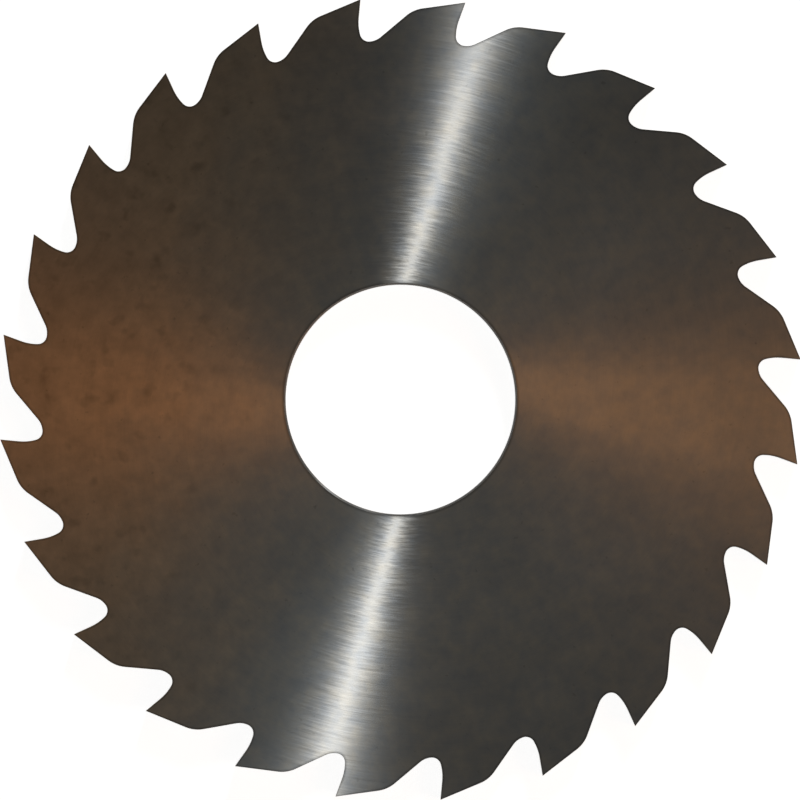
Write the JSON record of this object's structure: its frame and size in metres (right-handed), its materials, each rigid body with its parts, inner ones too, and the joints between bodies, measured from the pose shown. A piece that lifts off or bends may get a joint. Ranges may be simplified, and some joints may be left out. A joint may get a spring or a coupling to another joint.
{
  "type": "slitting saw",
  "caption": "Thin round slitting saw with hooked teeth round its rim and a plain arbor hole, ground flat on both sides to cut narrow slots in metal.",
  "frame": {"origin": "centre of the arbor hole, on the lower side that the blade lies on", "axes": "+Z along the arbor hole, out of the upper side; +X and +Y each run through a tooth tip, and the teeth cut clockwise seen from +Z"},
  "size_m": [0.0444, 0.0444, 0.0024],
  "materials": {
    "ground_steel": "dark tool steel, ground with a fine spiral lay on both sides"
  },
  "bodies": {
    "root": {"blade": "ground_steel"}
  },
  "joints": []
}
